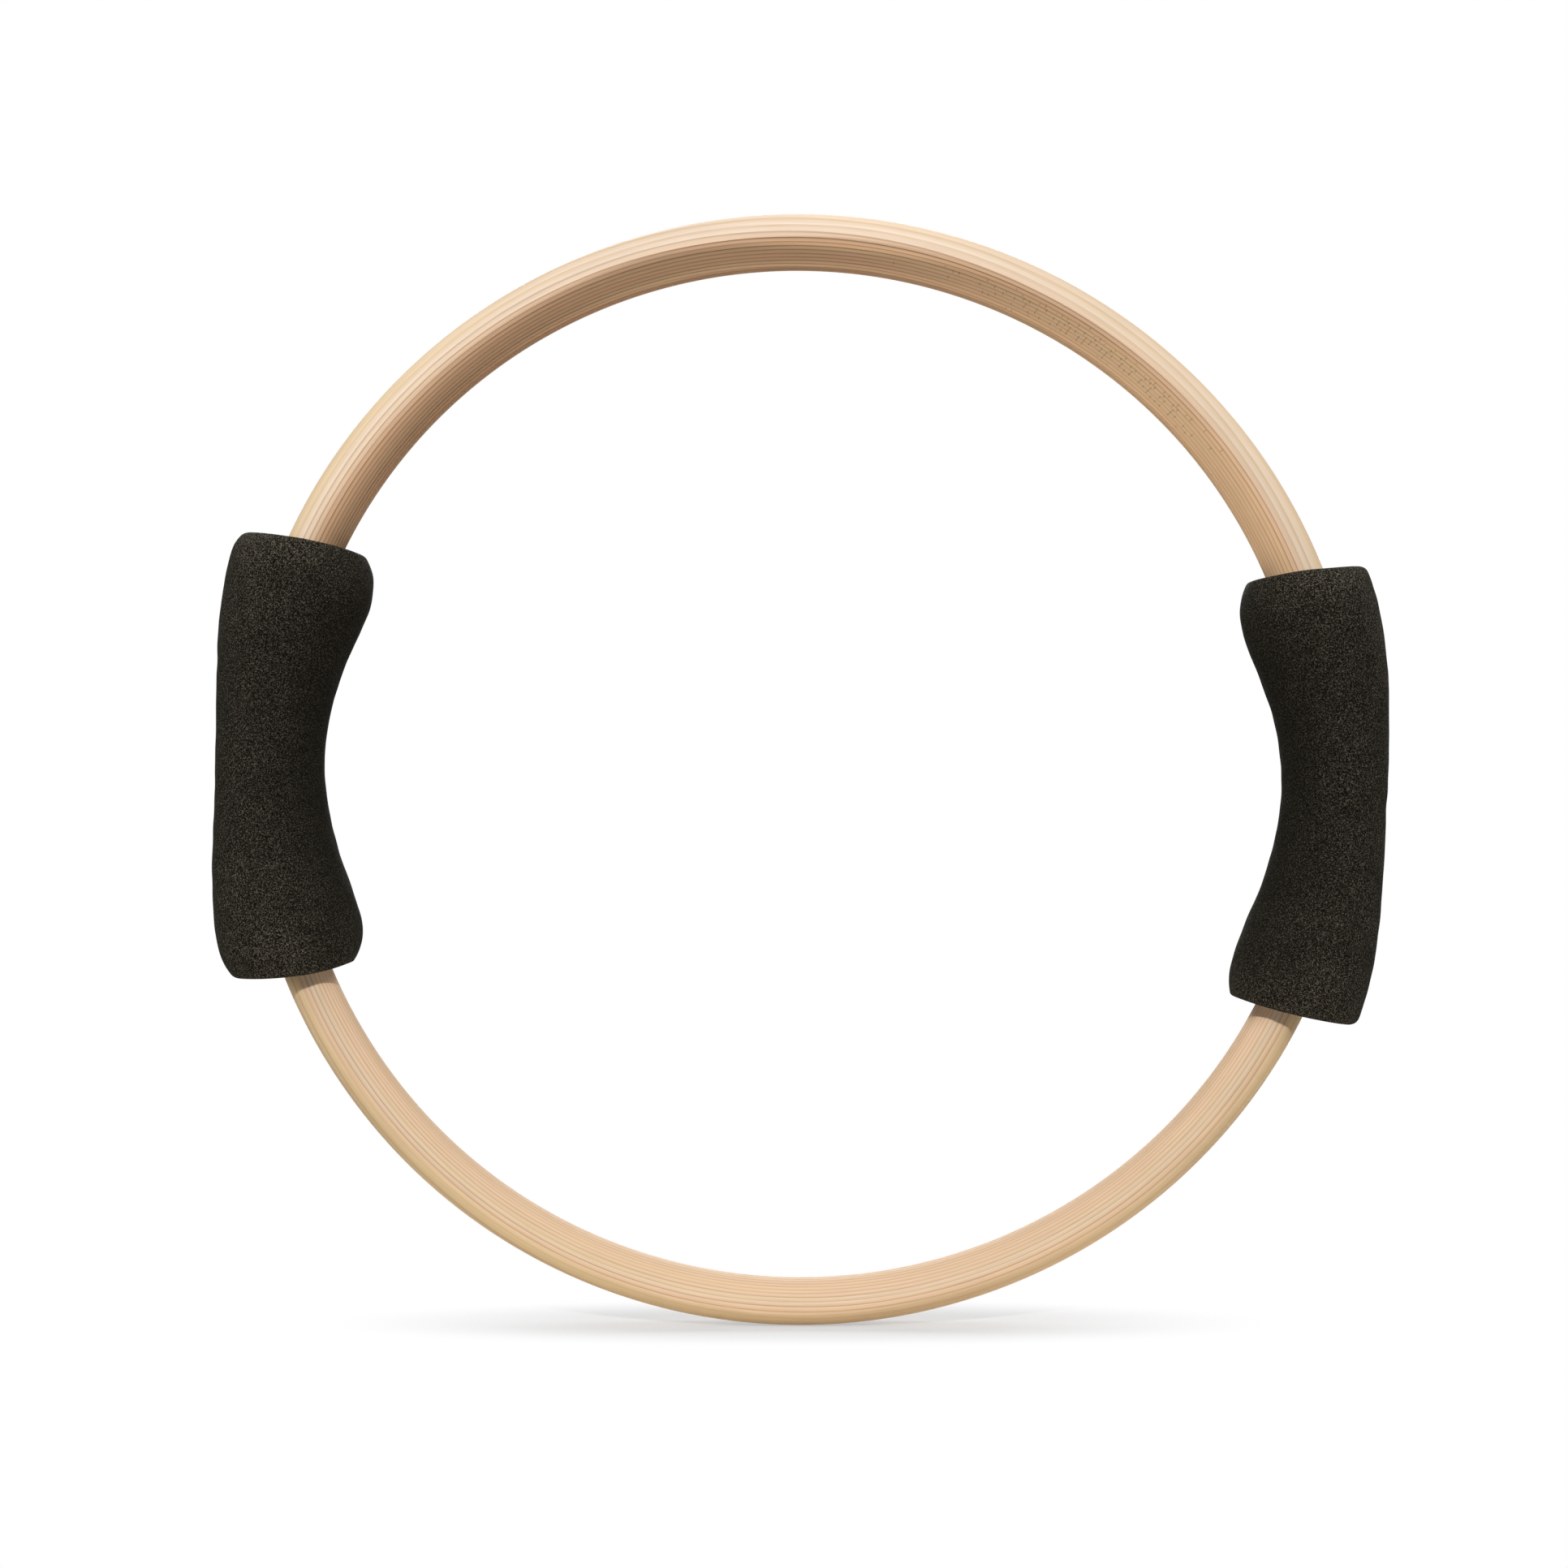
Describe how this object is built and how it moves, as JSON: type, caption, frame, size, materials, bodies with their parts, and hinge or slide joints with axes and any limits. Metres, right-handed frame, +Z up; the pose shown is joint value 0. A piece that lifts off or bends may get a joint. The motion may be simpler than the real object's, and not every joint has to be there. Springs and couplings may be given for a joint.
{
  "type": "pilates ring",
  "caption": "Bent-wood exercise hoop standing on its edge, with an hourglass foam grip at each side that is squeezed towards the other for resistance.",
  "frame": {"origin": "centre of the hoop", "axes": "+X from the left grip to the right grip, +Y along the hoop's axis, away from the viewer of the picture, and +Z up as the hoop stands on its edge"},
  "size_m": [0.3816, 0.046, 0.36],
  "materials": {
    "bent_wood": "satin",
    "dowel_wood": "matte",
    "cloth_tape": "matte",
    "grip_foam": "matte"
  },
  "bodies": {
    "hoop": {"upper_half_hoop": "bent_wood", "lower_half_hoop": "bent_wood"},
    "left_pad": {"left_grip": "grip_foam", "left_grip_tape": "cloth_tape", "left_scarf_dowels": "dowel_wood"},
    "right_pad": {"right_grip": "grip_foam", "right_grip_tape": "cloth_tape", "right_scarf_dowels": "dowel_wood"}
  },
  "joints": [
    {"name": "left_squeeze", "type": "slide", "parent": "hoop", "child": "left_pad", "axis": [1, 0, 0], "range_m": [0, 0.006], "stiffness_N_per_m": 100000, "deforming": ["upper_half_hoop", "lower_half_hoop"]},
    {"name": "right_squeeze", "type": "slide", "parent": "hoop", "child": "right_pad", "axis": [-1, 0, 0], "range_m": [0, 0.006], "stiffness_N_per_m": 100000, "deforming": ["upper_half_hoop", "lower_half_hoop"]}
  ],
  "couplings": [
    {"joint": "right_squeeze", "follows": "left_squeeze", "ratio": 1}
  ]
}
